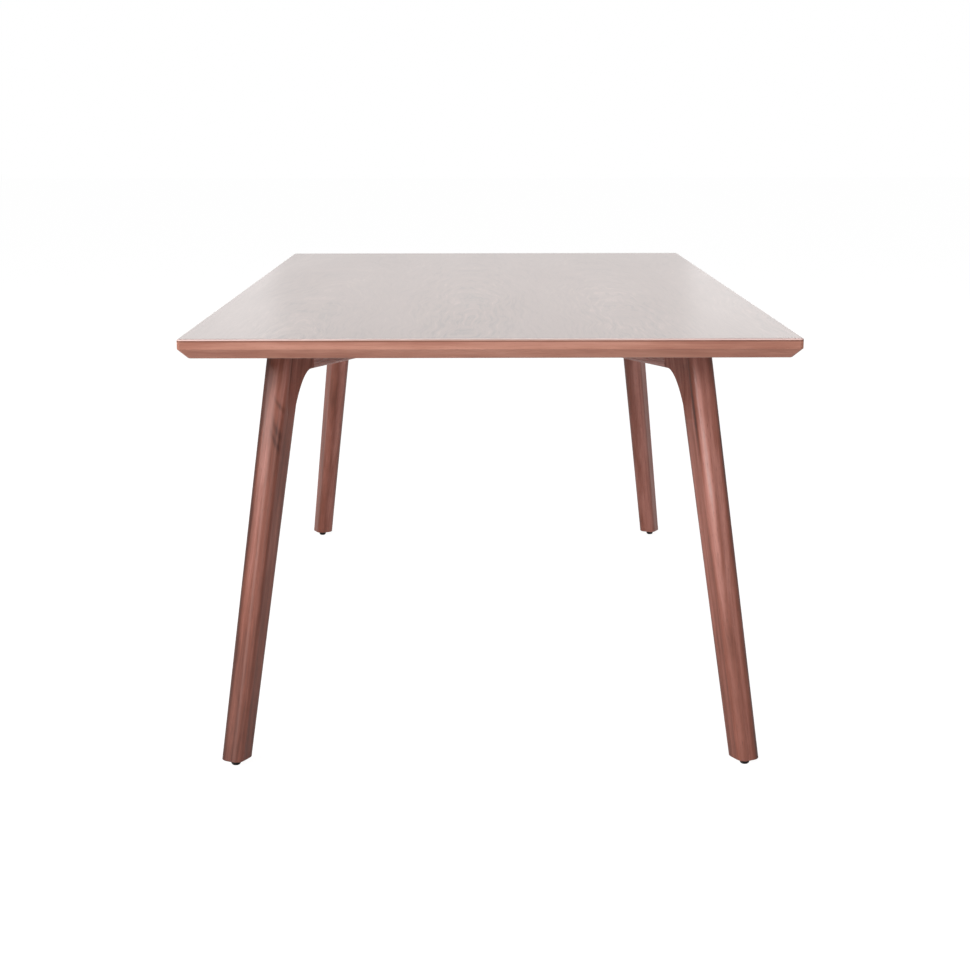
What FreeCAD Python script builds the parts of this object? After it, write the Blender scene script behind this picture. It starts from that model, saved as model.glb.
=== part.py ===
import FreeCAD, Part
import math
import os

from FreeCAD import Vector

# A dining table: a veneered, lipped top on two crossed diagonal rails, with four legs that lean outwards along the
# diagonals and screw-in levelling glides under the feet. Lengths in millimetres, X across, Y along, Z up, and the
# origin on the floor under the middle of the top.

# Overall sizes
TOP_LENGTH = 1800.0
TOP_WIDTH = 1000.0
TABLE_HEIGHT = 740.0
TOP_THICKNESS = 33.0

# Top: outline, edge and layers
TOP_CORNER_RADIUS = 6.0
TOP_ARRIS_RADIUS = 3.0
BEVEL_INSET = 15.0
BEVEL_DROP = 16.0
FACE_VENEER = 0.8
BACKING_VENEER = 0.8
LIPPING_WIDTH = 24.0
TONGUE_THICKNESS = 4.0
TONGUE_WIDTH = 16.0
TONGUE_END_GAP = 40.0

# Legs: place of the feet, lean and sections, depth being along the diagonal and thickness across it
FOOT_SIDE_INSET = 64.0
FOOT_END_INSET = 64.0
LEG_RUN = 186.0
LEG_FOOT_DEPTH = 47.0
LEG_FOOT_THICKNESS = 41.5
LEG_FOOT_CORNER = 14.0
LEG_TOP_DEPTH = 61.0
LEG_TOP_THICKNESS = 47.5
LEG_TOP_CORNER = 16.0
FOOT_CHAMFER = 0.8

# Arm of the leg, from the leg's axis under the top to the joint with the rail, and the sweep of its lower edge
ARM_REACH = 64.0
SWEEP_REACH = 44.0
SWEEP_DROP = 180.0
ARM_SINK = 1.0

# Hollow on both sides of the leg, where it thins into the arm
HOLLOW_LENGTH = 145.0
HOLLOW_FLAT_LENGTH = 50.0
HOLLOW_OVERRISE = 0.5
VALLEY_TOP_SETBACK = 21.0
VALLEY_END_SETBACK = 27.0
VALLEY_SLOPE_WIDTH = 5.0
VALLEY_RADIUS = 6.0

# Diagonal rails and their half lap
RAIL_THICKNESS = 28.0
RAIL_DEPTH = 54.0
RAIL_ARRIS_RADIUS = 5.0
JOINT_CHAMFER = 0.8
LAP_CLEARANCE = 0.2

# Joint of arm and rail: dowels, and a hanger bolt with clamp plate and nut in a pocket
DOWEL_DIAMETER = 8.0
DOWEL_LENGTH = 50.0
DOWEL_SPACING = 36.0
DOWEL_CHAMFER = 0.8
DOWEL_HOLE_SPARE = 1.5
HANGER_DIAMETER = 8.0
HANGER_HOLE = 9.0
HANGER_IN_ARM = 44.0
HANGER_STICK_OUT = 5.0
HANGER_CHAMFER = 0.8
POCKET_SETBACK = 26.0
POCKET_LENGTH = 32.0
POCKET_WIDTH = 16.0
POCKET_HEADROOM = 13.0
CLAMP_PLATE_HEIGHT = 24.0
CLAMP_PLATE_THICKNESS = 3.0
CLAMP_PLATE_SIDE_GAP = 0.3
NUT_ACROSS_FLATS = 13.0
NUT_THICKNESS = 6.5

# Bolts that hold the rails to the top: one where the rails cross and evenly spaced ones along each half rail, the
# last of them a gap short of the nut's pocket
TOP_BOLTS_PER_HALF_RAIL = 2
TOP_BOLT_POCKET_GAP = 45.0
TOP_BOLT_DIAMETER = 6.0
TOP_BOLT_HOLE = 6.6
TOP_BOLT_HEAD = 10.0
TOP_BOLT_HEAD_HEIGHT = 6.0
TOP_BOLT_SOCKET_FLATS = 5.0
TOP_BOLT_SOCKET_DEPTH = 3.0
TOP_BOLT_END_GAP = 1.0
TOP_WASHER_DIAMETER = 14.0
TOP_WASHER_THICKNESS = 1.5
COUNTERBORE_DIAMETER = 15.0
COUNTERBORE_DEPTH = 18.0
TOP_INSERT_DIAMETER = 10.0
TOP_INSERT_LENGTH = 14.0

# Levelling glides
GLIDE_HEIGHT = 11.0
GLIDE_DIAMETER = 17.0
GLIDE_CONTACT_DIAMETER = 11.0
GLIDE_RIM_HEIGHT = 6.0
GLIDE_GRIP_RADIUS = 1.2
GLIDE_GRIPS = 6
STEM_DIAMETER = 8.0
STEM_REACH = 24.0
STEM_CHAMFER = 0.8
STEM_HEAD_DIAMETER = 11.0
STEM_HEAD_HEIGHT = 3.0
STEM_HEAD_FLOOR = 2.0
STEM_HOLE = 9.0
STEM_HOLE_SPARE = 2.0
FOOT_INSERT_DIAMETER = 11.0
FOOT_INSERT_LENGTH = 20.0

# Fits and cutting allowance
DRILL_CLEARANCE = 0.1
RUNNING_CLEARANCE = 0.05
OVERRUN = 5.0

# Places that follow from the sizes above
UNDERSIDE = TABLE_HEIGHT - TOP_THICKNESS
RAIL_BOTTOM = UNDERSIDE - RAIL_DEPTH
RAIL_MIDDLE = UNDERSIDE - RAIL_DEPTH / 2
FOOT_X = TOP_WIDTH / 2 - FOOT_SIDE_INSET
FOOT_Y = TOP_LENGTH / 2 - FOOT_END_INSET
FOOT_REACH = math.hypot(FOOT_X, FOOT_Y)
DIAGONAL_DEG = math.degrees(math.atan2(FOOT_Y, FOOT_X))
JOINT_RUN = LEG_RUN + ARM_REACH
RAIL_HALF = FOOT_REACH - JOINT_RUN
BOLT_SEAT = RAIL_BOTTOM + COUNTERBORE_DEPTH
POCKET_WALL = JOINT_RUN + POCKET_SETBACK
TOP_BOLT_REACH = RAIL_HALF - POCKET_SETBACK - POCKET_LENGTH - TOP_BOLT_POCKET_GAP
CORE_HALF_X = TOP_WIDTH / 2 - LIPPING_WIDTH
CORE_HALF_Y = TOP_LENGTH / 2 - LIPPING_WIDTH

UP = Vector(0, 0, 1)
SIDES = ("front", "back", "left", "right")
CORNERS = {
    "front_left": (-1, -1),
    "front_right": (1, -1),
    "back_left": (-1, 1),
    "back_right": (1, 1),
}


# Plain shapes and edge picking

def box(x_span, y_span, z_span):
    """Box between the two values of each span."""
    sizes = [high - low for low, high in (x_span, y_span, z_span)]
    return Part.makeBox(*sizes, Vector(x_span[0], y_span[0], z_span[0]))


def bar(diameter, start, end):
    """Round bar from one end point to the other."""
    axis = end.sub(start)
    return Part.makeCylinder(diameter / 2, axis.Length, start, axis)


def ring(outer_diameter, bore_diameter, start, end):
    """Tube from one end point to the other."""
    return bar(outer_diameter, start, end).cut(bar(bore_diameter, start, end))


def prism(points, direction):
    """Straight or skewed prism on a flat polygon."""
    return Part.Face(Part.makePolygon(points + points[:1])).extrude(direction)


def hexagon(across_flats, start, side, direction):
    """Hexagonal bar with a corner towards one side, as long as its direction."""
    other = direction.cross(side).normalize()
    corner_radius = across_flats / math.sqrt(3)
    points = []
    for k in range(6):
        angle = k * math.pi / 3
        points.append(start + side * (corner_radius * math.cos(angle)) + other * (corner_radius * math.sin(angle)))
    return prism(points, direction)


def line(start, end):
    """Straight edge."""
    return Part.LineSegment(start, end).toShape()


def rounded_outline(centre, size_x, size_y, radius):
    """Level outline of a rectangle with round corners, four arcs and four lines."""
    arcs = []
    for k, (sign_x, sign_y) in enumerate(((1, 1), (-1, 1), (-1, -1), (1, -1))):
        pivot = centre + Vector(sign_x * (size_x / 2 - radius), sign_y * (size_y / 2 - radius), 0)
        angles = [(k + step) * math.pi / 2 for step in (0, 0.5, 1)]
        arcs.append([pivot + Vector(math.cos(angle), math.sin(angle), 0) * radius for angle in angles])
    edges = []
    for k, arc in enumerate(arcs):
        edges.append(Part.Arc(*arc).toShape())
        edges.append(line(arc[2], arcs[(k + 1) % 4][0]))
    return Part.Wire(edges)


def near(value, target):
    """Whether two places are the same within rounding."""
    return abs(value - target) < RUNNING_CLEARANCE / 10


def edges_at(shape, test):
    """Edges whose every end point passes the test."""
    return [edge for edge in shape.Edges if all(test(vertex.Point) for vertex in edge.Vertexes)]


def end_rim(shape, end):
    """Sides and lower edge of the end face of a bar along X, without the edge that lies under the top."""
    rim = edges_at(shape, lambda point: near(point.x, end))
    return [edge for edge in rim if not all(near(vertex.Z, UNDERSIDE) for vertex in edge.Vertexes)]


def to_leg(shape, corner):
    """Moves a shape from the leg's own frame, X inwards from the glide's axis, to one corner of the table."""
    sign_x, sign_y = CORNERS[corner]
    inward_deg = math.degrees(math.atan2(-sign_y * FOOT_Y, -sign_x * FOOT_X))
    turned = shape.rotated(Vector(0, 0, 0), UP, inward_deg)
    return turned.translated(Vector(sign_x * FOOT_X, sign_y * FOOT_Y, 0))


def to_diagonal(shape, way):
    """Turns a shape that lies along X onto the diagonal to the back right (1) or to the front right (-1)."""
    return shape.rotated(Vector(0, 0, 0), UP, way * DIAGONAL_DEG)


def at_corners(shape):
    """Group of four copies, one at each leg."""
    return Part.makeCompound([to_leg(shape, corner) for corner in CORNERS])


# Top

def top_form():
    """Whole outer form of the top: bevel below, upright land, round upper arris."""
    land = UNDERSIDE + BEVEL_DROP
    lower = (TOP_WIDTH - 2 * BEVEL_INSET, TOP_LENGTH - 2 * BEVEL_INSET, TOP_CORNER_RADIUS)
    upper = (TOP_WIDTH, TOP_LENGTH, TOP_CORNER_RADIUS)
    outlines = [
        rounded_outline(Vector(0, 0, UNDERSIDE), *lower),
        rounded_outline(Vector(0, 0, land), *upper),
        rounded_outline(Vector(0, 0, TABLE_HEIGHT), *upper),
    ]
    form = Part.makeLoft(outlines, True, True)
    return form.makeFillet(TOP_ARRIS_RADIUS, edges_at(form, lambda point: near(point.z, TABLE_HEIGHT)))


def top_layer(form, low, high):
    """Level slice of the top between two heights."""
    return form.common(box((-TOP_WIDTH, TOP_WIDTH), (-TOP_LENGTH, TOP_LENGTH), (low, high)))


def tongue(side, clearance):
    """Loose tongue of one side of the top, or with a clearance its groove."""
    middle = (UNDERSIDE + BEVEL_DROP + TABLE_HEIGHT) / 2
    half_thickness = TONGUE_THICKNESS / 2 + clearance
    half_width = TONGUE_WIDTH / 2 + clearance
    levels = (middle - half_thickness, middle + half_thickness)
    if side in ("front", "back"):
        seam = CORE_HALF_Y if side == "back" else -CORE_HALF_Y
        half_length = CORE_HALF_X - TONGUE_END_GAP + clearance
        return box((-half_length, half_length), (seam - half_width, seam + half_width), levels)
    seam = CORE_HALF_X if side == "right" else -CORE_HALF_X
    half_length = CORE_HALF_Y - TONGUE_END_GAP + clearance
    return box((seam - half_width, seam + half_width), (-half_length, half_length), levels)


def lipping(layer, side):
    """Solid lipping of one side: the rim of the middle layer between two mitres, grooved for its tongue."""
    along_x = side in ("front", "back")
    sign = 1 if side in ("back", "right") else -1
    plan = []
    for end, grow in ((-1, OVERRUN), (1, OVERRUN), (1, -LIPPING_WIDTH), (-1, -LIPPING_WIDTH)):
        reach_x = TOP_WIDTH / 2 + grow
        reach_y = TOP_LENGTH / 2 + grow
        if along_x:
            plan.append(Vector(end * reach_x, sign * reach_y, UNDERSIDE))
        else:
            plan.append(Vector(sign * reach_x, end * reach_y, UNDERSIDE))
    return layer.common(prism(plan, UP * TOP_THICKNESS)).cut(tongue(side, DRILL_CLEARANCE))


def top_pieces():
    """Core, veneers, lippings and tongues of the top."""
    form = top_form()
    core_low = UNDERSIDE + BACKING_VENEER
    core_high = TABLE_HEIGHT - FACE_VENEER
    middle = top_layer(form, core_low, core_high)
    insert_hole = bar(
        TOP_INSERT_DIAMETER + 2 * DRILL_CLEARANCE,
        UP * (UNDERSIDE - OVERRUN),
        UP * (UNDERSIDE + TOP_INSERT_LENGTH + DRILL_CLEARANCE),
    )
    holes = at_top_bolts(insert_hole)
    core = box((-CORE_HALF_X, CORE_HALF_X), (-CORE_HALF_Y, CORE_HALF_Y), (core_low, core_high))
    pieces = {
        "top_face_veneer": top_layer(form, core_high, TABLE_HEIGHT),
        "top_backing_veneer": top_layer(form, UNDERSIDE, core_low).cut(holes),
        "lipping_tongues": Part.makeCompound([tongue(side, 0) for side in SIDES]),
    }
    for side in SIDES:
        core = core.cut(tongue(side, DRILL_CLEARANCE))
        pieces["edge_lipping_" + side] = lipping(middle, side)
    pieces["top_core"] = core.cut(holes)
    return pieces


# Bolts between rails and top

def at_top_bolts(shape):
    """Group of copies at the middle of the table and evenly spaced along each half of both rails."""
    copies = [shape]
    for k in range(TOP_BOLTS_PER_HALF_RAIL):
        reach = TOP_BOLT_REACH * (k + 1) / TOP_BOLTS_PER_HALF_RAIL
        for end in (reach, -reach):
            for way in (1, -1):
                copies.append(to_diagonal(shape.translated(Vector(end, 0, 0)), way))
    return Part.makeCompound(copies)


def top_bolt():
    """Socket-head bolt that passes up through a rail into the top."""
    head_top = BOLT_SEAT - TOP_WASHER_THICKNESS
    head_bottom = head_top - TOP_BOLT_HEAD_HEIGHT
    tip = UNDERSIDE + TOP_INSERT_LENGTH - TOP_BOLT_END_GAP
    head = bar(TOP_BOLT_HEAD, UP * head_bottom, UP * head_top)
    socket = hexagon(TOP_BOLT_SOCKET_FLATS, UP * head_bottom, Vector(1, 0, 0), UP * TOP_BOLT_SOCKET_DEPTH)
    return head.fuse(bar(TOP_BOLT_DIAMETER, UP * head_top, UP * tip)).cut(socket).removeSplitter()


def top_bolt_hole():
    """Counterbored hole for one of those bolts through a rail."""
    hole = bar(TOP_BOLT_HOLE, UP * (RAIL_BOTTOM - OVERRUN), UP * (UNDERSIDE + OVERRUN))
    return hole.fuse(bar(COUNTERBORE_DIAMETER, UP * (RAIL_BOTTOM - OVERRUN), UP * BOLT_SEAT))


def top_bolt_pieces():
    """Bolts, washers and threaded inserts, each a group."""
    washer = ring(TOP_WASHER_DIAMETER, TOP_BOLT_HOLE, UP * (BOLT_SEAT - TOP_WASHER_THICKNESS), UP * BOLT_SEAT)
    insert_bore = TOP_BOLT_DIAMETER + 2 * DRILL_CLEARANCE
    insert = ring(TOP_INSERT_DIAMETER, insert_bore, UP * UNDERSIDE, UP * (UNDERSIDE + TOP_INSERT_LENGTH))
    return {
        "top_bolts": at_top_bolts(top_bolt()),
        "top_bolt_washers": at_top_bolts(washer),
        "top_inserts": at_top_bolts(insert),
    }


# Joint of arm and rail, in the leg's frame

def dowel_levels():
    """Heights of the two dowels, above and below the hanger bolt."""
    return (RAIL_MIDDLE - DOWEL_SPACING / 2, RAIL_MIDDLE + DOWEL_SPACING / 2)


def joint_holes():
    """Dowel and bolt holes across the joint, and the pocket for the nut in the rail's underside."""
    dowel_half = DOWEL_LENGTH / 2 + DOWEL_HOLE_SPARE
    dowel_hole = DOWEL_DIAMETER + 2 * DRILL_CLEARANCE
    holes = []
    for level in dowel_levels():
        start = Vector(JOINT_RUN - dowel_half, 0, level)
        holes.append(bar(dowel_hole, start, Vector(JOINT_RUN + dowel_half, 0, level)))
    bolt_end = JOINT_RUN - HANGER_IN_ARM
    holes.append(bar(HANGER_DIAMETER + 2 * DRILL_CLEARANCE, Vector(bolt_end, 0, RAIL_MIDDLE),
                     Vector(JOINT_RUN, 0, RAIL_MIDDLE)))
    holes.append(bar(HANGER_HOLE, Vector(JOINT_RUN, 0, RAIL_MIDDLE), Vector(POCKET_WALL, 0, RAIL_MIDDLE)))
    holes.append(box(
        (POCKET_WALL, POCKET_WALL + POCKET_LENGTH),
        (-POCKET_WIDTH / 2, POCKET_WIDTH / 2),
        (RAIL_BOTTOM - OVERRUN, RAIL_MIDDLE + POCKET_HEADROOM),
    ))
    return Part.makeCompound(holes)


def joint_pieces():
    """Dowels, hanger bolts, clamp plates and nuts, each a group."""
    along = Vector(1, 0, 0)
    dowels = []
    for level in dowel_levels():
        start = Vector(JOINT_RUN - DOWEL_LENGTH / 2, 0, level)
        dowel = bar(DOWEL_DIAMETER, start, start + along * DOWEL_LENGTH)
        dowels.append(dowel.makeChamfer(DOWEL_CHAMFER, [dowel.Edges[0], dowel.Edges[2]]))
    nut_place = POCKET_WALL + CLAMP_PLATE_THICKNESS
    bolt_start = Vector(JOINT_RUN - HANGER_IN_ARM, 0, RAIL_MIDDLE)
    bolt_tip = Vector(nut_place + NUT_THICKNESS + HANGER_STICK_OUT, 0, RAIL_MIDDLE)
    bolt = bar(HANGER_DIAMETER, bolt_start, bolt_tip)
    bolt = bolt.makeChamfer(HANGER_CHAMFER, edges_at(bolt, lambda point: near(point.x, bolt_tip.x)))
    plate_half = POCKET_WIDTH / 2 - CLAMP_PLATE_SIDE_GAP
    plate_levels = (RAIL_MIDDLE - CLAMP_PLATE_HEIGHT / 2, RAIL_MIDDLE + CLAMP_PLATE_HEIGHT / 2)
    plate = box((POCKET_WALL, nut_place), (-plate_half, plate_half), plate_levels)
    plate = plate.cut(bar(HANGER_HOLE, Vector(POCKET_WALL, 0, RAIL_MIDDLE), Vector(nut_place, 0, RAIL_MIDDLE)))
    nut_start = Vector(nut_place, 0, RAIL_MIDDLE)
    nut_end = nut_start + along * NUT_THICKNESS
    nut = hexagon(NUT_ACROSS_FLATS, nut_start, UP, along * NUT_THICKNESS)
    nut = nut.cut(bar(HANGER_DIAMETER + 2 * RUNNING_CLEARANCE, nut_start, nut_end))
    return {
        "leg_dowels": Part.makeCompound([to_leg(dowel, corner) for corner in CORNERS for dowel in dowels]),
        "hanger_bolts": at_corners(bolt),
        "clamp_plates": at_corners(plate),
        "hanger_nuts": at_corners(nut),
    }


# Rails

def rail_blank():
    """Rail along X with round lower arrises and chamfered ends, before its joints are cut."""
    half = RAIL_THICKNESS / 2
    blank = box((-RAIL_HALF, RAIL_HALF), (-half, half), (RAIL_BOTTOM, UNDERSIDE))
    lower = edges_at(blank, lambda point: near(point.z, RAIL_BOTTOM))
    blank = blank.makeFillet(RAIL_ARRIS_RADIUS, [edge for edge in lower if near(edge.Length, 2 * RAIL_HALF)])
    return blank.makeChamfer(JOINT_CHAMFER, end_rim(blank, RAIL_HALF) + end_rim(blank, -RAIL_HALF))


def rail(way, lap_levels, corners):
    """One diagonal rail with its half lap, joint holes and bolt holes."""
    half = RAIL_THICKNESS / 2 + LAP_CLEARANCE
    lap = to_diagonal(box((-RAIL_HALF, RAIL_HALF), (-half, half), lap_levels), -way)
    piece = to_diagonal(rail_blank(), way).cut(lap)
    for corner in corners:
        piece = piece.cut(to_leg(joint_holes(), corner))
    return piece.cut(at_top_bolts(top_bolt_hole()))


def rail_pieces():
    """Both rails: the upper one keeps its upper half where they cross, the lower one its lower half."""
    return {
        "diagonal_rail_upper": rail(1, (RAIL_BOTTOM - OVERRUN, RAIL_MIDDLE), ("front_left", "back_right")),
        "diagonal_rail_lower": rail(-1, (RAIL_MIDDLE, UNDERSIDE + OVERRUN), ("front_right", "back_left")),
    }


# Legs, in the leg's frame

def leg_axis(height):
    """How far the leg's axis has come in along the diagonal at a height."""
    return LEG_RUN * height / UNDERSIDE


def leg_taper(foot_size, top_size, height):
    """Size of the tapered leg at a height between the sawn foot and the underside of the top."""
    return foot_size + (top_size - foot_size) * (height - GLIDE_HEIGHT) / (UNDERSIDE - GLIDE_HEIGHT)


def leg_face(height, side):
    """Place along the diagonal of the leg's inner (1) or outer (-1) face at a height."""
    return leg_axis(height) + side * leg_taper(LEG_FOOT_DEPTH, LEG_TOP_DEPTH, height) / 2


def leg_column():
    """Tapered column between the level cut of the foot and the underside of the top."""
    foot_place = Vector(leg_axis(GLIDE_HEIGHT), 0, GLIDE_HEIGHT)
    foot = rounded_outline(foot_place, LEG_FOOT_DEPTH, LEG_FOOT_THICKNESS, LEG_FOOT_CORNER)
    head = rounded_outline(Vector(LEG_RUN, 0, UNDERSIDE), LEG_TOP_DEPTH, LEG_TOP_THICKNESS, LEG_TOP_CORNER)
    column = Part.makeLoft([foot, head], True, True)
    return column.makeChamfer(FOOT_CHAMFER, edges_at(column, lambda point: near(point.z, GLIDE_HEIGHT)))


def arm():
    """Arm of the leg: a plate whose lower edge sweeps in one long curve from the rail's level down into the column."""
    slope = (leg_face(UNDERSIDE, 1) - leg_face(GLIDE_HEIGHT, 1)) / (UNDERSIDE - GLIDE_HEIGHT)
    down = Vector(-slope, 0, -1).normalize()
    corner = Vector(leg_face(RAIL_BOTTOM, 1) - ARM_SINK, 0, RAIL_BOTTOM)
    low = corner + down * SWEEP_DROP
    high = corner + Vector(SWEEP_REACH, 0, 0)
    sweep = Part.BezierCurve()
    sweep.setPoles([low, corner, high])
    joint_foot = Vector(JOINT_RUN, 0, RAIL_BOTTOM)
    run = (low, high, joint_foot)
    root = Vector(leg_axis(low.z), 0, low.z)
    corners = [high, joint_foot, Vector(JOINT_RUN, 0, UNDERSIDE), Vector(LEG_RUN, 0, UNDERSIDE), root, low]
    edges = [sweep.toShape()]
    edges += [line(start, end) for start, end in zip(corners, corners[1:])]
    plate = Part.Face(Part.Wire(edges)).extrude(Vector(0, RAIL_THICKNESS, 0))
    plate.translate(Vector(0, -RAIL_THICKNESS / 2, 0))

    def on_run(point):
        return any(near(point.x, spot.x) and near(point.z, spot.z) for spot in run)

    lower = [edge for edge in edges_at(plate, on_run) if near(edge.Vertexes[0].Y, edge.Vertexes[-1].Y)]
    plate = plate.makeFillet(RAIL_ARRIS_RADIUS, lower)
    return plate.makeChamfer(JOINT_CHAMFER, end_rim(plate, JOINT_RUN))


def valley_side(recess, height):
    """Skewed prism on the arm's side of the valley, whose wall leans outwards as it rises from the hollow's floor."""
    end_level = UNDERSIDE - HOLLOW_LENGTH
    top_place = leg_face(UNDERSIDE, -1) + VALLEY_TOP_SETBACK
    end_place = leg_face(end_level, -1) + VALLEY_END_SETBACK
    slope = (top_place - end_place) / HOLLOW_LENGTH
    high = UNDERSIDE + HOLLOW_LENGTH
    low = end_level - HOLLOW_LENGTH
    far = JOINT_RUN + HOLLOW_LENGTH
    lean = Vector(-VALLEY_SLOPE_WIDTH / recess, 1, 0)
    base = Vector(0, RAIL_THICKNESS / 2, 0) - lean * recess
    points = [
        Vector(top_place + slope * HOLLOW_LENGTH, 0, high),
        Vector(end_place - slope * HOLLOW_LENGTH, 0, low),
        Vector(far, 0, low),
        Vector(far, 0, high),
    ]
    return prism([point + base for point in points], lean * (recess + height))


def hollow():
    """Cutter for the hollow on one side of the leg: flat at the arm's face, running out of the column in two arcs that
    turn one after the other towards the column's side and back to upright."""
    floor = RAIL_THICKNESS / 2
    flat_level = UNDERSIDE - HOLLOW_FLAT_LENGTH
    run_out = HOLLOW_LENGTH - HOLLOW_FLAT_LENGTH
    recess = leg_taper(LEG_FOOT_THICKNESS, LEG_TOP_THICKNESS, UNDERSIDE - HOLLOW_LENGTH) / 2 - floor
    rise = recess + HOLLOW_OVERRISE
    height = 2 * recess + 3 * VALLEY_RADIUS
    radius = (run_out ** 2 + rise ** 2) / (4 * rise)
    half_turn = math.asin(run_out / (2 * radius)) / 2
    bulge = Vector(0, radius * (1 - math.cos(half_turn)), -radius * math.sin(half_turn))

    top = Vector(0, floor, UNDERSIDE + OVERRUN)
    start = Vector(0, floor, flat_level)
    middle = Vector(0, floor + rise / 2, flat_level - run_out / 2)
    end = Vector(0, floor + rise, flat_level - run_out)
    rim_low = Vector(0, floor + height, end.z)
    rim_high = Vector(0, floor + height, top.z)
    edges = [line(top, start), Part.Arc(start, start + bulge, middle).toShape()]
    edges += [Part.Arc(middle, end - bulge, end).toShape(), line(end, rim_low)]
    edges += [line(rim_low, rim_high), line(rim_high, top)]
    cutter = Part.Face(Part.Wire(edges)).extrude(Vector(JOINT_RUN + OVERRUN, 0, 0))
    cutter = cutter.common(valley_side(recess, height + recess))
    wall = min(cutter.Faces, key=lambda face: face.normalAt(0, 0).x)

    def on_floor(point):
        return any(near(point.y, spot.y) and near(point.z, spot.z) for spot in (top, start, middle, end))

    return cutter.makeFillet(VALLEY_RADIUS, edges_at(wall, on_floor))


def foot_hole():
    """Hole up the foot for the threaded insert, and above it for the tip of the glide's stem."""
    low = UP * (GLIDE_HEIGHT - OVERRUN)
    wide = bar(FOOT_INSERT_DIAMETER + 2 * DRILL_CLEARANCE, low,
               UP * (GLIDE_HEIGHT + FOOT_INSERT_LENGTH + DRILL_CLEARANCE))
    return wide.fuse(bar(STEM_HOLE, low, UP * (GLIDE_HEIGHT + STEM_REACH + STEM_HOLE_SPARE)))


def leg_pieces():
    """The four legs."""
    cutter = hollow()
    mirrored = cutter.mirror(Vector(0, 0, 0), Vector(0, 1, 0))
    leg = leg_column().fuse(arm()).removeSplitter()
    leg = leg.cut(cutter).cut(mirrored).removeSplitter()
    leg = leg.cut(joint_holes()).cut(foot_hole())
    return {"leg_" + corner: to_leg(leg, corner) for corner in CORNERS}


# Glides, in the leg's frame

def glide_stem():
    """Threaded stem with a flat head that the pad holds."""
    head_low = STEM_HEAD_FLOOR + RUNNING_CLEARANCE
    head_high = head_low + STEM_HEAD_HEIGHT
    tip = GLIDE_HEIGHT + STEM_REACH
    rod = bar(STEM_DIAMETER, UP * head_high, UP * tip)
    rod = rod.makeChamfer(STEM_CHAMFER, edges_at(rod, lambda point: near(point.z, tip)))
    return bar(STEM_HEAD_DIAMETER, UP * head_low, UP * head_high).fuse(rod).removeSplitter()


def glide_pad():
    """Moulded pad: flat contact, round flank, upright rim with finger grips, and a cavity for the stem's head."""
    radius = GLIDE_DIAMETER / 2
    contact = GLIDE_CONTACT_DIAMETER / 2
    rim_low = GLIDE_HEIGHT - GLIDE_RIM_HEIGHT
    overhang = radius - contact
    flank = (overhang ** 2 + rim_low ** 2) / (2 * overhang)
    half_turn = math.atan2(rim_low, contact - radius + flank) / 2
    middle = Vector(radius - flank + flank * math.cos(half_turn), 0, rim_low - flank * math.sin(half_turn))
    rim_foot = Vector(radius, 0, rim_low)
    rim_top = Vector(radius, 0, GLIDE_HEIGHT)
    centre_top = Vector(0, 0, GLIDE_HEIGHT)
    centre = Vector(0, 0, 0)
    contact_edge = Vector(contact, 0, 0)
    edges = [line(centre, contact_edge), Part.Arc(contact_edge, middle, rim_foot).toShape()]
    edges += [line(rim_foot, rim_top), line(rim_top, centre_top), line(centre_top, centre)]
    pad = Part.Face(Part.Wire(edges)).revolve(centre, UP, 360)
    cavity_top = STEM_HEAD_FLOOR + STEM_HEAD_HEIGHT + 2 * RUNNING_CLEARANCE
    pad = pad.cut(bar(STEM_HEAD_DIAMETER + 2 * RUNNING_CLEARANCE, UP * STEM_HEAD_FLOOR, UP * cavity_top))
    pad = pad.cut(bar(STEM_DIAMETER + 2 * RUNNING_CLEARANCE, UP * cavity_top, UP * (GLIDE_HEIGHT + OVERRUN)))
    for k in range(GLIDE_GRIPS):
        grip = bar(2 * GLIDE_GRIP_RADIUS, rim_foot, rim_top + UP * OVERRUN)
        pad = pad.cut(grip.rotated(centre, UP, k * 360 / GLIDE_GRIPS))
    return pad


def foot_pieces():
    """Threaded inserts of the feet as a group, and a stem and a pad for each foot."""
    insert_bore = STEM_DIAMETER + 2 * RUNNING_CLEARANCE
    insert = ring(FOOT_INSERT_DIAMETER, insert_bore, UP * GLIDE_HEIGHT, UP * (GLIDE_HEIGHT + FOOT_INSERT_LENGTH))
    pieces = {"foot_inserts": at_corners(insert)}
    for corner in CORNERS:
        pieces["glide_stem_" + corner] = to_leg(glide_stem(), corner)
        pieces["glide_pad_" + corner] = to_leg(glide_pad(), corner)
    return pieces


def main():
    """Writes every piece of the table to its own file."""
    os.makedirs("parts", exist_ok=True)
    groups = (top_pieces(), rail_pieces(), leg_pieces(), joint_pieces(), top_bolt_pieces(), foot_pieces())
    for pieces in groups:
        for name, shape in pieces.items():
            shape.exportStep(os.path.join("parts", name + ".step"))


main()
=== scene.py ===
import math
from collections import namedtuple

import bpy
import numpy as np
from mathutils import Matrix, Vector


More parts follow.
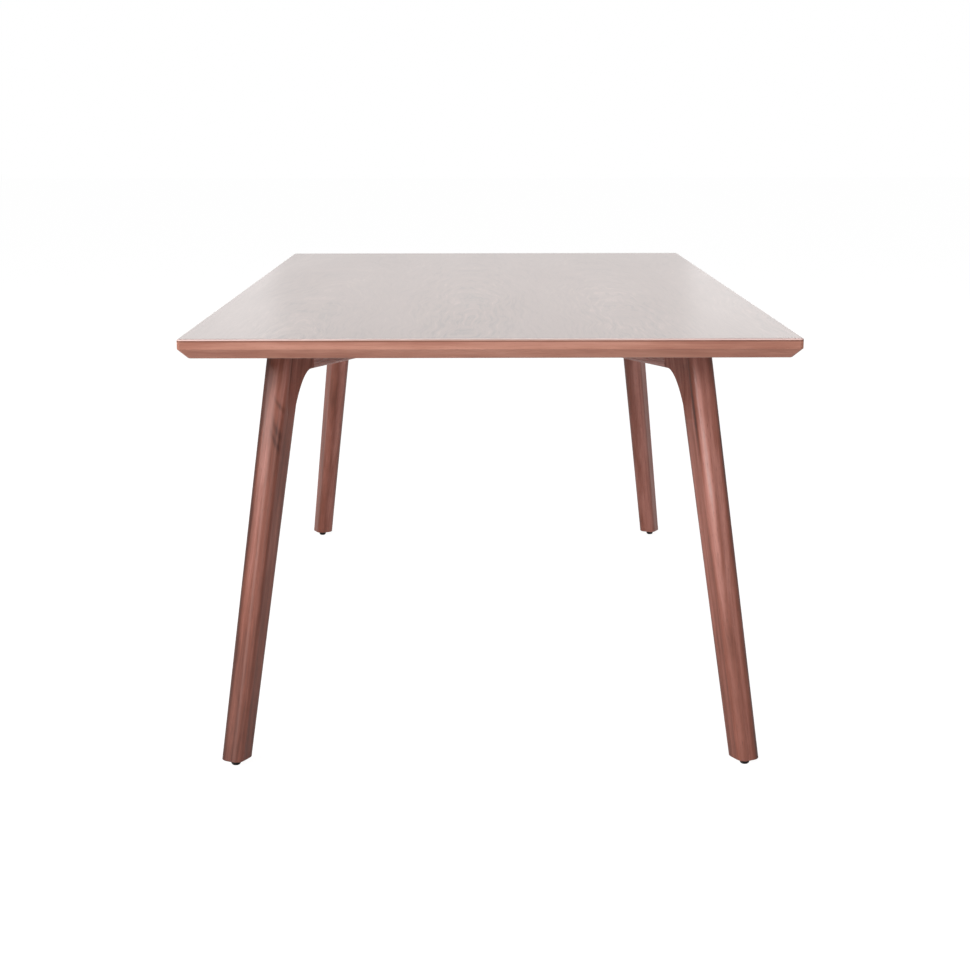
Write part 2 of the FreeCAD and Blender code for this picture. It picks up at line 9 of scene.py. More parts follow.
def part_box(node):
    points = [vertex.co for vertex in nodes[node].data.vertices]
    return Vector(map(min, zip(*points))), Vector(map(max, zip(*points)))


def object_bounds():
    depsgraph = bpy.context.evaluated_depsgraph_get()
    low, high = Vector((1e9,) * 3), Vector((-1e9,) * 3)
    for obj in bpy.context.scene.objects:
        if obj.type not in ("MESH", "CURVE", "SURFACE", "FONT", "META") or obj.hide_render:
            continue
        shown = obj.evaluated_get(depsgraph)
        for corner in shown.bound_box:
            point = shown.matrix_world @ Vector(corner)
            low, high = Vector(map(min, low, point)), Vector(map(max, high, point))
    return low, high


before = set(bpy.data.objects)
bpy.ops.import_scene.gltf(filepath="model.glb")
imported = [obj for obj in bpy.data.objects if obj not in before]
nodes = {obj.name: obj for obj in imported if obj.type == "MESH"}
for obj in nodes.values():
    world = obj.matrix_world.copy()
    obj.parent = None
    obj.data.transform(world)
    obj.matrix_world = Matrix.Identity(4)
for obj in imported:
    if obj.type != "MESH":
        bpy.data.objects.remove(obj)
cad_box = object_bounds()
scene = bpy.context.scene


def middle(node):
    """Middle of a node's box, to the millimetre."""
    low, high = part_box(node)
    return tuple(round(value, 3) for value in (low + high) / 2)


# Places on the table that the finishes follow, in metres
HALF_WIDTH, HALF_LENGTH, TOP_HEIGHT = (round(value, 4) for value in cad_box[1])
UNDERSIDE = round(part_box("top_backing_veneer")[0].z, 4)
FOOT_X, FOOT_Y = middle("glide_pad_back_right")[:2]
RAIL_MIDDLE = middle("diagonal_rail_upper")
LEG_RUN = 0.186
LIPPING_HEIGHT = TOP_HEIGHT - 0.015
CORE_HEIGHT = TOP_HEIGHT - 0.040
# The lipping is painted pale as a highlight from these heights up to the top.
ARRIS_HEIGHTS = (TOP_HEIGHT - 0.0034, TOP_HEIGHT - 0.0020)
# A dark line just under the arris: its height and width.
DARK_LINE = (TOP_HEIGHT - 0.0043, 0.0008)
# The top's rim is painted pale as a highlight, rising over these distances inside its sides and ends.
HIGHLIT_RIM = (-0.0035, -0.0022)
STROKE_DEPTHS = (0.011, 0.017)
CORNERS = {"front_left": (-1, -1), "front_right": (1, -1), "back_left": (-1, 1), "back_right": (1, 1)}
SIDES = {"front": (0, -1), "back": (0, 1), "left": (-1, 0), "right": (1, 0)}
RAILS = {"upper": 1, "lower": -1}

# Camera at the photograph's viewing angle
IMAGE_PIXELS = 970
FOCAL_PIXELS = 1718.65
CAMERA_PLACE = (-0.01818, -3.62194, 1.0794)
CAMERA_PITCH = 0.20901
CAMERA_YAW = -0.00341
CAMERA_ROLL = 0.00136
CAMERA_REACH = 200.0
SENSOR_MM = 36.0

# Tones, from the darkest streak to the palest, and tones of single places
LEG_TONES = (
    (0.28, (0.080, 0.020, 0.011)),
    (0.46, (0.205, 0.061, 0.037)),
    (0.56, (0.275, 0.091, 0.062)),
    (0.78, (0.472, 0.200, 0.160)),
    # The palest stop is the lilac of a painted highlight, reached where the pale bands and strokes of the
    # front legs paint highlights.
    (0.94, (0.485, 0.272, 0.240)),
)
LIPPING_TONES = (
    (0.30, (0.315, 0.125, 0.086)),
    (0.46, (0.430, 0.197, 0.142)),
    (0.56, (0.490, 0.238, 0.178)),
    (0.72, (0.560, 0.292, 0.226)),
)
VENEER_TONES = (
    (0.28, (0.170, 0.080, 0.059)),
    (0.46, (0.285, 0.146, 0.112)),
    (0.56, (0.315, 0.165, 0.128)),
    (0.74, (0.440, 0.248, 0.200)),
)
BEECH_TONES = (
    (0.30, (0.38, 0.22, 0.12)),
    (0.46, (0.52, 0.34, 0.20)),
    (0.56, (0.60, 0.41, 0.26)),
    (0.72, (0.68, 0.49, 0.33)),
)
ZINC_TONES = (
    (0.3, (0.52, 0.53, 0.55)),
    (0.7, (0.70, 0.70, 0.69)),
)
PLASTIC_TONES = (
    (0.3, (0.004, 0.003, 0.003)),
    (0.8, (0.012, 0.010, 0.010)),
)
# Tones of the painted highlight on the arris: at the ends, and weaker over the middle within this reach.
ARRIS_HIGHLIGHT_TONE = (0.79, 0.59, 0.56, 1.0)
ARRIS_MID_HIGHLIGHT_TONE = (0.48, 0.35, 0.31, 1.0)
ARRIS_MID_REACH = 0.32
# Tone of the dark line under the arris.
DARK_LINE_TONE = (0.150, 0.062, 0.043, 1.0)
WHITE = (1.0, 1.0, 1.0, 1.0)

# Coats of lacquer over the tones
Coat = namedtuple("Coat", "tones roughness reflection")
LEG_COAT = Coat(LEG_TONES, 0.30, 0.5)
RAIL_COAT = Coat(LEG_TONES, 0.26, 0.7)
LIPPING_COAT = Coat(LIPPING_TONES, 0.30, 0.25)
BEECH_COAT = Coat(BEECH_TONES, 0.6, 0.4)
GLOSS_SPREAD = (-0.04, 0.06)
VENEER_ROUGHNESS = (0.28, 0.24)
VENEER_COAT_WEIGHT = 0.75
VENEER_COAT_ROUGHNESS = 0.3

# Metal and plastic: the noise in them, and their gloss and relief
ZINC_CLOUDS = {"Scale": 260.0, "Detail": 3.0}
ZINC_ROUGHNESS = (0.26, 0.42)
PLASTIC_GRIT = {"Scale": 2600.0, "Detail": 2.0}
PLASTIC_ROUGHNESS = (0.42, 0.60)
PLASTIC_REFLECTION = 0.25
PLASTIC_RELIEF = (0.2, 0.0001)

# Layers of figure: waves a metre on the three axes of the grain, detail of the noise, and share of the layer
Layer = namedtuple("Layer", "scale detail share")
SOLID_WAVER = Layer((2.2, 9.0, 9.0), 2.0, 0.022)
SOLID_STREAKS = Layer((3.2, 130.0, 1.0), 3.0, 0.54)
SOLID_FIBRES = Layer((24.0, 800.0, 1.0), 2.0, 0.18)
SOLID_BLOTCHES = Layer((7.0, 38.0, 38.0), 2.0, 0.28)
SOLID_PORES = Layer((70.0, 1100.0, 1100.0), 1.0, 0.5)
SOLID_PORE_LEVEL = 0.60
VENEER_WAVER = Layer((7.0, 2.4, 1.0), 2.0, 0.08)
VENEER_RIPPLE = Layer((60.0, 9.0, 1.0), 2.0, 0.020)
VENEER_STREAKS = Layer((11.0, 150.0, 1.0), 2.0, 1.1)
VENEER_FIBRES = Layer((9.0, 700.0, 1.0), 2.0, 0.10)
VENEER_PATCHES = Layer((6.0, 1.3, 1.0), 2.0, 0.30)
VENEER_PORES = Layer((40.0, 900.0, 1.0), 1.0, 0.25)
VENEER_PORE_LEVEL = 0.58
VENEER_TONE_LEVEL = 0.3
NOISE_ROUGHNESS = 0.6
PORE_STEEPNESS = 6.0
FIBRE_RELIEF = 0.4
SOLID_RELIEF = (0.12, 0.0003)
VENEER_RELIEF = (0.01, 0.0002)

# Leaves of the veneer: their place, the pith under them, and the step in the noise from leaf to leaf
LEAF_WIDTH = 0.285
LEAF_CENTRE = 0.245
LEAF_STEP = 3.7
LEAF_TURN = 2.3
PITH_DEPTH = 0.064
PITH_RISE = 0.075
PITH_TURN = 0.022
RING_STRETCH = 0.8
HEART_REACH = 0.075
HEART_SHARE = 0.70

# Figure at given places of the solid pieces, and on the front legs painted shade and highlights, in metres
# along and across the grain
Grain = namedtuple("Grain", "direction centre pith seed")
Band = namedtuple("Band", "place width shift")
Stroke = namedtuple("Stroke", "height side slope length width shift dullness")
Line = namedtuple("Line", "inset width height length shift")
Seeds = namedtuple("Seeds", "first step")
LEG_PITH = (0.05, 0.07)
LEG_SEEDS = Seeds(11.0, 4.1)
LEG_FIGURE_AND_PAINTED_LIGHT = {
    "front_left": {
        # Front left leg: the bands paint shade on both rims, strongly on the outer one, and a faint highlight
        # on the end face.
        "bands": (Band(0.000, 0.008, 0.03), Band(0.017, 0.008, -0.28), Band(-0.022, 0.006, -0.03)),
        # The first patch darkens the leg toward the foot as painted shade; the second lightens it a little
        # near its top.
        "patches": (Band(0.00, 0.24, -0.10), Band(0.64, 0.06, 0.04)),
        "strokes": (
            Stroke(0.618, -0.0175, 0.66, 0.012, 0.0036, -0.15, 0.00),
            Stroke(0.575, -0.0176, 0.39, 0.019, 0.0040, -0.15, 0.00),
            Stroke(0.556, -0.0169, 0.42, 0.019, 0.0034, -0.15, 0.00),
            # Painted shadow of the top on the upper part of the leg's front, with duller lacquer there.
            Stroke(0.655, 0.0040, 0.00, 0.066, 0.0150, -0.17, 0.20),
            # Painted shade near the foot, with duller lacquer there.
            Stroke(0.030, 0.0040, 0.00, 0.140, 0.0120, -0.08, 0.15),
            # Painted highlight along the ridge near the top.
            Stroke(0.672, -0.0205, 0.00, 0.050, 0.0025, 0.12, 0.00),
        ),
        "dull": (Band(0.022, 0.007, 0.35), Band(-0.014, 0.005, 0.35)),
    },
    "front_right": {
        # Front right leg: the first two bands paint highlights on the corner arc and the end face, the third
        # paints shade on the outer rim.
        "bands": (Band(0.017, 0.008, 0.08), Band(-0.001, 0.009, 0.17), Band(-0.016, 0.005, -0.16)),
        # The patch darkens the leg toward the foot as painted shade.
        "patches": (Band(0.00, 0.22, -0.13),),
        # The stroke paints a highlight along the corner arc.
        "strokes": (Stroke(0.500, 0.0170, 0.00, 0.200, 0.0036, 0.26, 0.00),),
        # The line paints shade in the valley near the top of the hollow.
        "lines": (Line(0.0125, 0.0030, 0.61, 0.06, -0.22),),
        "dull": (Band(-0.022, 0.007, 0.35), Band(0.011, 0.005, 0.35)),
    },
    "back_left": {
        "bands": (Band(0.010, 0.020, 0.13),),
        "patches": (Band(0.10, 0.20, 0.04),),
    },
    "back_right": {
        "bands": (Band(0.013, 0.020, 0.15),),
        "patches": (Band(0.10, 0.20, 0.04),),
    },
}
RAIL_PITH = (0.05, 0.09)
RAIL_SEEDS = Seeds(31.0, 6.7)
RAIL_BANDS = (Band(0.00, 0.06, 0.15),)
LIPPING_PITH = (0.09, 0.12)
LIPPING_SEEDS = Seeds(0.0, 5.3)
LIPPING_PATCHES = (Band(0.42, 0.22, -0.13), Band(-0.46, 0.16, -0.13))
BEECH_GRAIN = Grain((1, 0, 0), (0, 0, CORE_HEIGHT), (0.2, 0.1), 51.0)

# Studio: how bright the surroundings show, light and mirror, and the softboxes in metres and watts
AIR_LIGHT = 0.25
SIDE_GLOSS = 0.3
BACKDROP_EDGE = (0.55, 0.85)
FLOOR_HALF = 30.0
FLOOR_GLOSS = 0.25
FLOOR_BOUNCE = (0.77, 0.77, 0.77, 1.0)
FLOOR_SHOWN = (0.25, 0.25, 0.25, 1.0)
FLOOR_GLOW = 0.93
FRONT_AIM = (0, -0.4, 0.5)
BACK_AIM = (0, 0.4, 0.5)
Softbox = namedtuple("Softbox", "name place aim width height power flagged")
SOFTBOXES = (
    Softbox("key_softbox", (-3.7, -5.8, 2.7), FRONT_AIM, 1.0, 2.0, 170.0, True),
    Softbox("fill_softbox", (2.6, -7.0, 2.5), FRONT_AIM, 5.0, 2.4, 150.0, True),
    Softbox("left_softbox", (-3.6, -2.4, 2.3), (-0.2, -0.75, 0.5), 1.0, 1.2, 72.0, True),
    Softbox("top_softbox", (0, 0, 3.2), (0, 0, 0.7), 1.2, 2.0, 32.0, False),
    Softbox("back_left_softbox", (-4.0, 5.8, 2.6), BACK_AIM, 1.6, 1.6, 22.0, False),
    Softbox("back_right_softbox", (4.0, 5.8, 2.6), BACK_AIM, 1.6, 1.6, 22.0, False),
    Softbox("back_left_panel", (-1.9, 5.5, 1.4), (-0.4, -0.4, 0.74), 1.6, 1.0, 1.8, False),
    Softbox("back_right_panel", (1.9, 5.5, 1.4), (0.4, -0.4, 0.74), 1.6, 1.0, 1.8, False),
)


# Node building

def put(tree, kind, inputs=None, **fields):
    """Adds a shader node, sets its fields, and sets or links its inputs."""
    made = tree.nodes.new("ShaderNode" + kind)
    for field, value in fields.items():
        setattr(made, field, value)
    for key, value in (inputs or {}).items():
        if isinstance(value, bpy.types.NodeSocket):
            tree.links.new(value, made.inputs[key])
        else:
            made.inputs[key].default_value = value
    return made


def calc(tree, operation, first, second=0.0, clamp=False):
    """One Math node; gives its output."""
    return put(tree, "Math", {0: first, 1: second}, operation=operation, use_clamp=clamp).outputs[0]


def weighed(tree, *parts):
    """Sum of shares, each a socket times its weight."""
    total = 0.0
    for socket, weight in parts:
        total = put(tree, "Math", {0: socket, 1: weight, 2: total}, operation="MULTIPLY_ADD").outputs[0]
    return total


def bell(tree, value, place, width):
    """Bell curve round a place: e to the minus square of the distance over the width."""
    off = calc(tree, "DIVIDE", calc(tree, "SUBTRACT", value, place), width)
    return calc(tree, "EXPONENT", calc(tree, "MULTIPLY", calc(tree, "POWER", off, 2.0), -1.0))


def rise(tree, value, start, end, curve="LINEAR"):
    """Share that goes from 0 at a start to 1 at an end."""
    return put(tree, "MapRange", {0: value, 1: start, 2: end}, interpolation_type=curve).outputs[0]


def spread(tree, share, low, high):
    """Value between low and high by a share."""
    return put(tree, "MapRange", {0: share, 3: low, 4: high}).outputs[0]


def split(tree, vector):
    """The three parts of a vector."""
    return put(tree, "SeparateXYZ", {0: vector}).outputs[:3]


def join(tree, x, y, z):
    """Vector of three parts."""
    return put(tree, "CombineXYZ", {0: x, 1: y, 2: z}).outputs[0]


def mix(tree, share, first, second):
    """Colour between two colours by a share."""
    return put(tree, "Mix", {0: share, 6: first, 7: second}, data_type="RGBA").outputs[2]


def shade(tree, share, stops):
    """Colour ramp through (place, colour) stops."""
    made = put(tree, "ValToRGB", {0: share})
    elements = made.color_ramp.elements
    while len(elements) < len(stops):
        elements.new(1.0)
    for element, (place, colour) in zip(elements, stops):
        element.position = place
        element.color = (*colour, 1.0)
    return made.outputs[0]


def object_coordinates(tree):
    """Coordinates of the piece, which are the table's own at rest."""
    return put(tree, "TexCoord").outputs["Object"]


def turned_to(direction):
    """Rotation that carries a direction onto X and keeps the rest square to it."""
    along = Vector(direction).normalized()
    side = Vector((0, 0, 1)).cross(along)
    side.normalize()
    return Matrix((along, side, along.cross(side)))


def grain_coordinates(tree, direction, centre):
    """Object coordinates moved to a piece's centre and turned so that X runs along its grain."""
    turn = turned_to(direction)
    shift = -(turn @ Vector(centre))
    fields = {"Vector": object_coordinates(tree), "Location": shift, "Rotation": turn.to_euler("XYZ")}
    return put(tree, "Mapping", fields).outputs[0]


def layer_noise(tree, vector, layer):
    """Noise of a layer of figure, whose three axes have their own scales."""
    scaled = put(tree, "VectorMath", {0: vector, 1: layer.scale}, operation="MULTIPLY").outputs[0]
    fields = {"Vector": scaled, "Scale": 1.0, "Detail": layer.detail, "Roughness": NOISE_ROUGHNESS}
    return put(tree, "TexNoise", fields).outputs[0]


def centred_noise(tree, vector, layer):
    """Noise of a layer, taken round zero."""
    return calc(tree, "SUBTRACT", layer_noise(tree, vector, layer), 0.5)


def new_finish(name):
    """Empty material with a Principled shader; gives the material, its tree and the shader."""
    finish = bpy.data.materials.new(name)
    finish.use_nodes = True
    tree = finish.node_tree
    tree.nodes.clear()
    shader = put(tree, "BsdfPrincipled")
    put(tree, "OutputMaterial", {0: shader.outputs[0]})
    return finish, tree, shader


def dress(finish, *names):
    """Gives CAD nodes one finish."""
    for name in names:
        mesh = nodes[name].data
        mesh.materials.clear()
        mesh.materials.append(finish)


# Finishes

def ring_distance(tree, across, depth):
    """Distance from the pith line: the root of the two squares added."""
    squares = calc(tree, "ADD", calc(tree, "POWER", across, 2.0), calc(tree, "POWER", depth, 2.0))
    return calc(tree, "SQRT", squares)


def pore_flecks(tree, vector, layer, level):
    """Pores as short flecks, where the noise is over a level."""
    over = calc(tree, "SUBTRACT", layer_noise(tree, vector, layer), level, clamp=True)
    return calc(tree, "MULTIPLY", over, PORE_STEEPNESS, clamp=True)


def emboss(tree, shader, height, relief):
    """Fine relief from a height, of a strength and a depth in metres."""
    strength, distance = relief
    bump = put(tree, "Bump", {"Height": height, "Strength": strength, "Distance": distance})
    tree.links.new(bump.outputs[0], shader.inputs["Normal"])


def grain_height(tree, fibres, fleck):
    """Height of the grain: fibres stand up and pores are sunk."""
    return calc(tree, "SUBTRACT", calc(tree, "MULTIPLY", fibres, FIBRE_RELIEF), fleck)


def stroke_share(tree, along, across, depth, stroke):
    """Share of a slanted stroke: a bell across the slant times a bell along the grain, on the outer face."""
    slanted = weighed(tree, (along, -stroke.slope), (across, 1.0))
    share = bell(tree, slanted, stroke.side - stroke.slope * stroke.height, stroke.width)
    share = calc(tree, "MULTIPLY", share, bell(tree, along, stroke.height, stroke.length))
    return calc(tree, "MULTIPLY", share, rise(tree, depth, *STROKE_DEPTHS))


def line_share(tree, along, depth, line):
    """Share of a line on the sides of a piece: a bell over its inset times a bell along the grain."""
    inset = bell(tree, depth, line.inset, line.width)
    return calc(tree, "MULTIPLY", inset, bell(tree, along, line.height, line.length))


def band_shares(tree, value, bands):
    """Bells at the places of bands, each with its shift."""
    return [(bell(tree, value, band.place, band.width), band.shift) for band in bands]


def edge_highlight_and_dark_line(tree, along, colour):
    """Upper edge of a lipping: a dark line under the arris, and a painted highlight on the arris, weaker at
    the middle.
    """
    height = split(tree, object_coordinates(tree))[2]
    # A dark line just under the arris.
    colour = mix(tree, bell(tree, height, *DARK_LINE), colour, DARK_LINE_TONE)
    # Painted highlight on the arris, weaker over the middle.
    highlit_share = rise(tree, height, *ARRIS_HEIGHTS, "SMOOTHSTEP")
    arris = mix(tree, bell(tree, along, 0.0, ARRIS_MID_REACH), ARRIS_HIGHLIGHT_TONE, ARRIS_MID_HIGHLIGHT_TONE)
    return mix(tree, highlit_share, colour, arris)


def solid_wood(name, grain, coat, bands=(), patches=(), strokes=(), lines=(), dull=(), lipped=False):
    """Lacquered solid wood. Streaks follow the distance from a pith line beside the piece, wavered along the
    grain. Bands at places across the grain, patches along it, slanted strokes on the outer face and lines on
    the sides shift the tone; on the front legs most of them are painted shade and painted highlights.
    Blotches, fine fibres and pores lie over it. The lacquer is dull along the arrises named. A lipping has a
    painted highlight on its upper arris, over a dark line."""
    finish, tree, shader = new_finish(name)
    place = grain_coordinates(tree, grain.direction, grain.centre)
    along, across, depth = split(tree, place)
    wavered = weighed(tree, (layer_noise(tree, place, SOLID_WAVER), SOLID_WAVER.share), (across, 1.0))
    from_pith = [calc(tree, "SUBTRACT", way, pith) for way, pith in zip((wavered, depth), grain.pith)]
    rings = join(tree, along, ring_distance(tree, *from_pith), grain.seed)
    streaks = layer_noise(tree, rings, SOLID_STREAKS)
    fibres = layer_noise(tree, rings, SOLID_FIBRES)
    blotches = layer_noise(tree, place, SOLID_BLOTCHES)
    fleck = pore_flecks(tree, place, SOLID_PORES, SOLID_PORE_LEVEL)
    stroked = [(stroke_share(tree, along, across, depth, stroke), stroke) for stroke in strokes]
    shifts = [
        (streaks, SOLID_STREAKS.share),
        (fibres, SOLID_FIBRES.share),
        (blotches, SOLID_BLOTCHES.share),
        *band_shares(tree, across, bands),
        *band_shares(tree, along, patches),
        *((share, stroke.shift) for share, stroke in stroked),
        *((line_share(tree, along, depth, line), line.shift) for line in lines),
    ]
    colour = shade(tree, weighed(tree, *shifts), coat.tones)
    darkest = (*coat.tones[0][1], 1.0)
    colour = mix(tree, calc(tree, "MULTIPLY", fleck, SOLID_PORES.share), colour, darkest)
    if lipped:
        # Painted highlight on the upper arris, over a dark line.
        colour = edge_highlight_and_dark_line(tree, along, colour)
    tree.links.new(colour, shader.inputs["Base Color"])
    matt = [
        (spread(tree, fibres, *(coat.roughness + step for step in GLOSS_SPREAD)), 1.0),
        *((share, stroke.dullness) for share, stroke in stroked if stroke.dullness),
        *band_shares(tree, across, dull),
    ]
    tree.links.new(weighed(tree, *matt), shader.inputs["Roughness"])
    shader.inputs["Specular IOR Level"].default_value = coat.reflection
    emboss(tree, shader, grain_height(tree, fibres, fleck), SOLID_RELIEF)
    return finish


def veneer_walnut(name):
    """Veneered walnut laid in leaves along Y. Every leaf is a slice over its own pith line, whose depth under
    the slice changes along the leaf, so that the rings show as cathedral arches, strongest near the heart.
    The rim is painted pale as a highlight along the rounded edge, and a satin coat lies over all."""
    finish, tree, shader = new_finish(name)
    across, along, _ = split(tree, object_coordinates(tree))
    count = calc(tree, "DIVIDE", calc(tree, "SUBTRACT", across, LEAF_CENTRE), LEAF_WIDTH)
    count = calc(tree, "ADD", count, 0.5)
    leaf = calc(tree, "FLOOR", count)
    inside = calc(tree, "SUBTRACT", calc(tree, "SUBTRACT", count, leaf), 0.5)
    inside = calc(tree, "MULTIPLY", inside, LEAF_WIDTH)
    leaf_shift = calc(tree, "MULTIPLY", leaf, LEAF_STEP)
    shifted = join(tree, across, along, leaf_shift)
    waver = centred_noise(tree, shifted, VENEER_WAVER)
    ripple = centred_noise(tree, shifted, VENEER_RIPPLE)
    inside = weighed(tree, (waver, VENEER_WAVER.share), (inside, 1.0))
    turn = calc(tree, "SINE", calc(tree, "MULTIPLY", leaf, LEAF_TURN))
    depth = weighed(tree, (along, PITH_RISE), (turn, PITH_TURN), (ripple, VENEER_RIPPLE.share))
    ring = ring_distance(tree, inside, calc(tree, "ADD", depth, PITH_DEPTH))
    rings = join(tree, calc(tree, "MULTIPLY", along, RING_STRETCH), ring, leaf_shift)
    heart = bell(tree, ring, 0.0, HEART_REACH)
    strength = weighed(tree, (heart, HEART_SHARE), (1.0, 1.0 - HEART_SHARE))
    streaks = calc(tree, "MULTIPLY", centred_noise(tree, rings, VENEER_STREAKS), strength)
    fine = join(tree, along, across, leaf_shift)
    fibres = layer_noise(tree, fine, VENEER_FIBRES)
    patches = layer_noise(tree, shifted, VENEER_PATCHES)
    fleck = pore_flecks(tree, fine, VENEER_PORES, VENEER_PORE_LEVEL)
    tone = weighed(tree, (streaks, VENEER_STREAKS.share), (fibres, VENEER_FIBRES.share),
                   (patches, VENEER_PATCHES.share))
    colour = shade(tree, calc(tree, "ADD", tone, VENEER_TONE_LEVEL), VENEER_TONES)
    darkest = (*VENEER_TONES[0][1], 1.0)
    colour = mix(tree, calc(tree, "MULTIPLY", fleck, VENEER_PORES.share), colour, darkest)
    side = calc(tree, "SUBTRACT", calc(tree, "ABSOLUTE", across), HALF_WIDTH)
    end = calc(tree, "SUBTRACT", calc(tree, "ABSOLUTE", along), HALF_LENGTH)
    # Painted highlight on the rim of the top.
    highlit_share = rise(tree, calc(tree, "MAXIMUM", side, end), *HIGHLIT_RIM, "SMOOTHSTEP")
    tree.links.new(mix(tree, highlit_share, colour, ARRIS_HIGHLIGHT_TONE), shader.inputs["Base Color"])
    tree.links.new(spread(tree, patches, *VENEER_ROUGHNESS), shader.inputs["Roughness"])
    shader.inputs["Coat Weight"].default_value = VENEER_COAT_WEIGHT
    shader.inputs["Coat Roughness"].default_value = VENEER_COAT_ROUGHNESS
    emboss(tree, shader, grain_height(tree, fibres, fleck), VENEER_RELIEF)
    return finish


def zinc_plate():
    """Zinc-plated steel with a faint cloudy passivation."""
    finish, tree, shader = new_finish("zinc_plate")
    clouds = put(tree, "TexNoise", {"Vector": object_coordinates(tree), **ZINC_CLOUDS}).outputs[0]
    tree.links.new(shade(tree, clouds, ZINC_TONES), shader.inputs["Base Color"])
    tree.links.new(spread(tree, clouds, *ZINC_ROUGHNESS), shader.inputs["Roughness"])
    shader.inputs["Metallic"].default_value = 1.0
    return finish


def glide_plastic():
    """Black moulded plastic with a fine spark-eroded grain."""
    finish, tree, shader = new_finish("glide_plastic")
    grit = put(tree, "TexNoise", {"Vector": object_coordinates(tree), **PLASTIC_GRIT}).outputs[0]
    tree.links.new(shade(tree, grit, PLASTIC_TONES), shader.inputs["Base Color"])
    tree.links.new(spread(tree, grit, *PLASTIC_ROUGHNESS), shader.inputs["Roughness"])
    shader.inputs["Specular IOR Level"].default_value = PLASTIC_REFLECTION
    emboss(tree, shader, grit, PLASTIC_RELIEF)
    return finish


# Dressing of the table

def dress_top():
    """Veneer on both faces of the top, and a lipping on each side with its grain along the edge."""
    dress(veneer_walnut("face_veneer"), "top_face_veneer", "top_backing_veneer")
    for order, (side, (way_x, way_y)) in enumerate(SIDES.items()):
        direction = (abs(way_y), abs(way_x), 0)
        centre = (way_x * HALF_WIDTH, way_y * HALF_LENGTH, LIPPING_HEIGHT)
        seed = LIPPING_SEEDS.first + order * LIPPING_SEEDS.step
        grain = Grain(direction, centre, LIPPING_PITH, seed)
        finish = solid_wood("lipping_" + side, grain, LIPPING_COAT, patches=LIPPING_PATCHES, lipped=True)
        dress(finish, "edge_lipping_" + side)


def dress_legs():
    """Legs of solid walnut, each with its own figure, the front ones also with painted shade and highlights,
    and with its grain along its lean.
    """
    reach = math.hypot(FOOT_X, FOOT_Y)
    for order, (corner, (way_x, way_y)) in enumerate(CORNERS.items()):
        foot = (way_x * FOOT_X, way_y * FOOT_Y, 0.0)
        lean = (-way_x * FOOT_X / reach * LEG_RUN, -way_y * FOOT_Y / reach * LEG_RUN, UNDERSIDE)
        grain = Grain(lean, foot, LEG_PITH, LEG_SEEDS.first + order * LEG_SEEDS.step)
        dress(solid_wood("leg_walnut_" + corner, grain, LEG_COAT, **LEG_FIGURE_AND_PAINTED_LIGHT[corner]), "leg_" + corner)


def dress_rails():
    """Rails of solid walnut with their grain along the diagonals."""
    for order, (rail, way) in enumerate(RAILS.items()):
        seed = RAIL_SEEDS.first + order * RAIL_SEEDS.step
        grain = Grain((FOOT_X, way * FOOT_Y, 0), RAIL_MIDDLE, RAIL_PITH, seed)
        dress(solid_wood("rail_walnut_" + rail, grain, RAIL_COAT, RAIL_BANDS), "diagonal_rail_" + rail)


def dress_inside():
    """Core, tongues and dowels of raw wood, and zinc-plated fastenings."""
    dress(solid_wood("beech", BEECH_GRAIN, BEECH_COAT), "top_core", "lipping_tongues", "leg_dowels")
    zinc = zinc_plate()
    dress(zinc, "hanger_bolts", "clamp_plates", "hanger_nuts", "top_bolts", "top_bolt_washers", "top_inserts")
    dress(zinc, "foot_inserts", *("glide_stem_" + corner for corner in CORNERS))


def dress_glides():
    """Pads of the glides."""
    dress(glide_plastic(), *("glide_pad_" + corner for corner in CORNERS))


# Studio

def white_share(tree, gloss):
    """1 for rays from the camera and through glass, a share for gloss, 0 for rays that light the table."""
    path = put(tree, "LightPath").outputs
    seen = weighed(tree, (path["Is Glossy Ray"], gloss), (path["Is Camera Ray"], 1.0))
    return calc(tree, "ADD", seen, path["Is Transmission Ray"], clamp=True)


def studio_air():
    """White surroundings that light the table at a lower level than they show. Gloss sees them full only
    behind the table, where the backdrop hangs."""
    world = bpy.data.worlds.new("studio_air")
    scene.world = world
    world.use_nodes = True
    tree = world.node_tree
    tree.nodes.clear()
    toward_back = split(tree, put(tree, "TexCoord").outputs["Generated"])[1]
    start, end = BACKDROP_EDGE
    gloss = put(tree, "MapRange", {0: toward_back, 1: start, 2: end, 3: SIDE_GLOSS, 4: 1.0}).outputs[0]
    light = put(tree, "Background", {0: WHITE, 1: AIR_LIGHT}).outputs[0]
    shown = put(tree, "Background", {0: WHITE, 1: 1.0}).outputs[0]
    both = put(tree, "MixShader", {0: white_share(tree, gloss), 1: light, 2: shown}).outputs[0]
    put(tree, "OutputWorld", {0: both})


def floor_paint():
    """Paint that takes the table's shadow and otherwise shows white."""
    paint = bpy.data.materials.new("floor_paint")
    paint.use_nodes = True
    tree = paint.node_tree
    tree.nodes.clear()
    bounce = put(tree, "BsdfDiffuse", {0: FLOOR_BOUNCE}).outputs[0]
    pale = put(tree, "BsdfDiffuse", {0: FLOOR_SHOWN}).outputs[0]
    glow = put(tree, "Emission", {0: WHITE, 1: FLOOR_GLOW}).outputs[0]
    shown = put(tree, "AddShader", {0: pale, 1: glow}).outputs[0]
    both = put(tree, "MixShader", {0: white_share(tree, FLOOR_GLOSS), 1: bounce, 2: shown}).outputs[0]
    put(tree, "OutputMaterial", {0: both})
    return paint


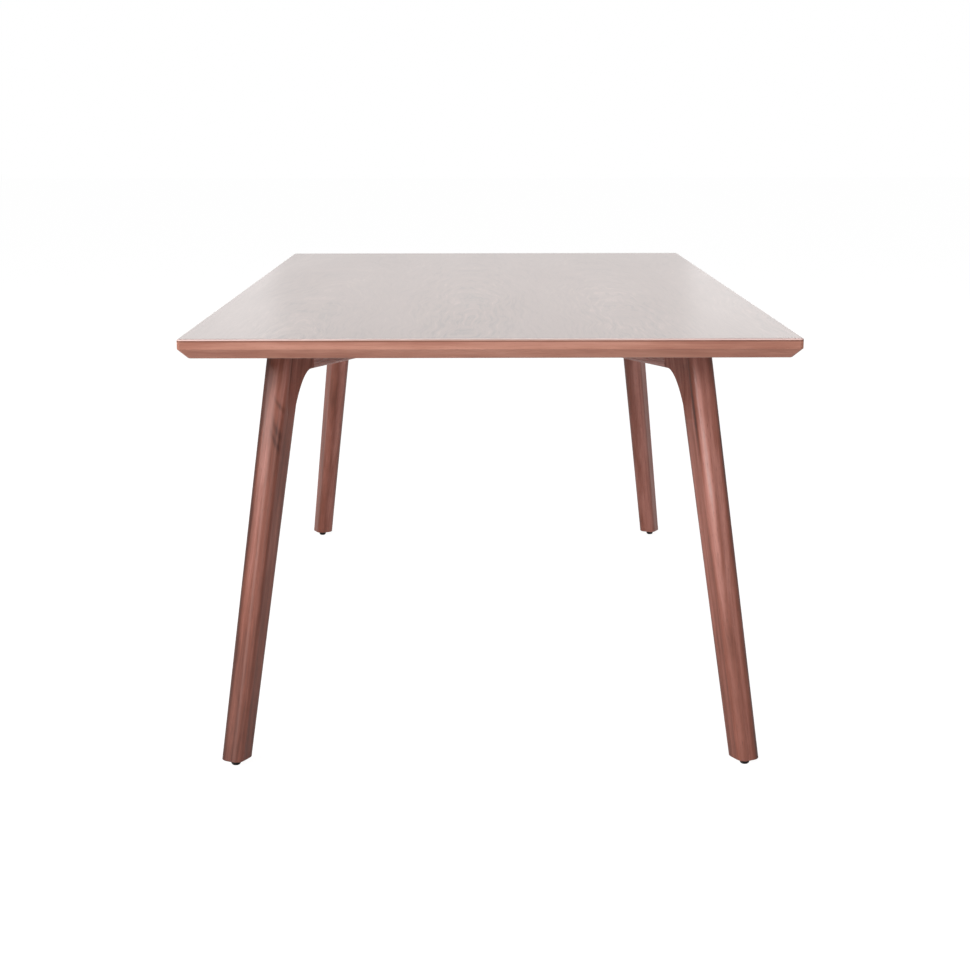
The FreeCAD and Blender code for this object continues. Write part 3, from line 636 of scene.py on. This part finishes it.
def studio_floor():
    """Pale floor: a flat square grid of two by two faces at the height of the glides' contact faces."""
    line = np.linspace(-FLOOR_HALF, FLOOR_HALF, 3)
    u, v = np.meshgrid(line, line, indexing="ij")
    points = np.stack([u, v, np.zeros_like(u)], axis=-1).reshape(-1, 3)
    face = np.arange(4)
    first = face // 2 * 3 + face % 2
    faces = np.stack([first, first + 3, first + 4, first + 1], axis=-1)
    mesh = bpy.data.meshes.new("studio_floor")
    mesh.from_pydata(points.tolist(), [], faces.tolist())
    mesh.materials.append(floor_paint())
    floor = bpy.data.objects.new("studio_floor", mesh)
    scene.collection.objects.link(floor)


def shaded_top():
    """Collection that keeps a lamp off the face veneer, as a flag in front of the lamp does."""
    flag = bpy.data.collections.new("shaded_top")
    flag.objects.link(nodes["top_face_veneer"])
    flag.collection_objects[0].light_linking.link_state = "EXCLUDE"
    return flag


def hang_softboxes():
    """Softboxes that face their aims; those in front have the flag, so that their glare spares the top."""
    flag = shaded_top()
    for box in SOFTBOXES:
        lamp = bpy.data.lights.new(box.name, "AREA")
        lamp.shape = "RECTANGLE"
        lamp.size = box.width
        lamp.size_y = box.height
        lamp.energy = box.power
        holder = bpy.data.objects.new(box.name, lamp)
        holder.location = box.place
        holder.rotation_euler = (Vector(box.aim) - Vector(box.place)).to_track_quat("-Z", "Y").to_euler()
        if box.flagged:
            holder.light_linking.receiver_collection = flag
        scene.collection.objects.link(holder)


def photo_camera():
    """Camera of the photograph, from its pitch, yaw, roll and focal length in pixels."""
    lens = bpy.data.cameras.new("photo_camera")
    lens.sensor_width = SENSOR_MM
    lens.lens = FOCAL_PIXELS / IMAGE_PIXELS * SENSOR_MM
    lens.clip_end = CAMERA_REACH
    level = Vector((-math.sin(CAMERA_YAW), math.cos(CAMERA_YAW), 0))
    right = Vector((math.cos(CAMERA_YAW), math.sin(CAMERA_YAW), 0))
    ahead = level * math.cos(CAMERA_PITCH) - Vector((0, 0, math.sin(CAMERA_PITCH)))
    down = -right.cross(ahead)
    rolled_right = right * math.cos(CAMERA_ROLL) + down * math.sin(CAMERA_ROLL)
    rolled_down = down * math.cos(CAMERA_ROLL) - right * math.sin(CAMERA_ROLL)
    axes = Matrix((rolled_right, -rolled_down, -ahead)).transposed()
    holder = bpy.data.objects.new("photo_camera", lens)
    holder.location = CAMERA_PLACE
    holder.rotation_euler = axes.to_euler()
    scene.collection.objects.link(holder)
    scene.camera = holder


scene.view_settings.view_transform = "Standard"
dress_top()
dress_legs()
dress_rails()
dress_inside()
dress_glides()
studio_air()
studio_floor()
hang_softboxes()
photo_camera()
